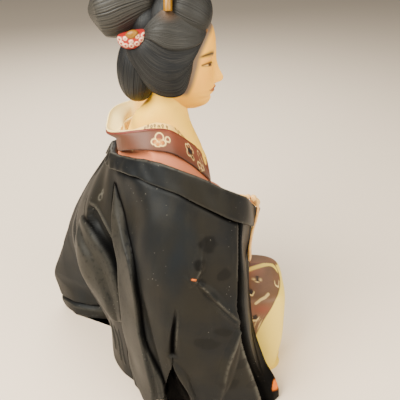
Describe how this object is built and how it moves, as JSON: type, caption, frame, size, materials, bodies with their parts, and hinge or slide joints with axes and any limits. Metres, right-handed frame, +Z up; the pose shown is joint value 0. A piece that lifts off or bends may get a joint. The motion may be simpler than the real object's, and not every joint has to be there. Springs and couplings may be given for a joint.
{
  "type": "hakata doll",
  "caption": "Painted clay figure of a seated woman in a kimono with a black haori slipped off her shoulders, her hair dressed high with a comb; it stands on its flat underside.",
  "frame": {"origin": "middle of the underside of the figure's box", "axes": "+Z up; the doll faces -Y and her right hand is on the -X side"},
  "size_m": [0.1314, 0.1578, 0.2479],
  "materials": {
    "coat_black": "matte black paint on fired clay, with a soft sheen, dust and darker stains",
    "hair_black": "charcoal paint over combed strands, satin",
    "skin": "warm cream matte paint, brushed edges at the hair",
    "kimono_brown": "reddish brown paint with cream and gold plum blossoms",
    "kimono_salmon": "dusty salmon paint",
    "lining_cream": "cream yellow paint, slightly soiled",
    "piping_red": "dark red paint",
    "gold_paint": "gold paint, worn",
    "dappled_red": "red with raised white rings, as tied and dyed cloth",
    "cord_cream": "cream paint on a moulded braided cord"
  },
  "bodies": {
    "root": {"doll": "coat_black"}
  },
  "joints": []
}
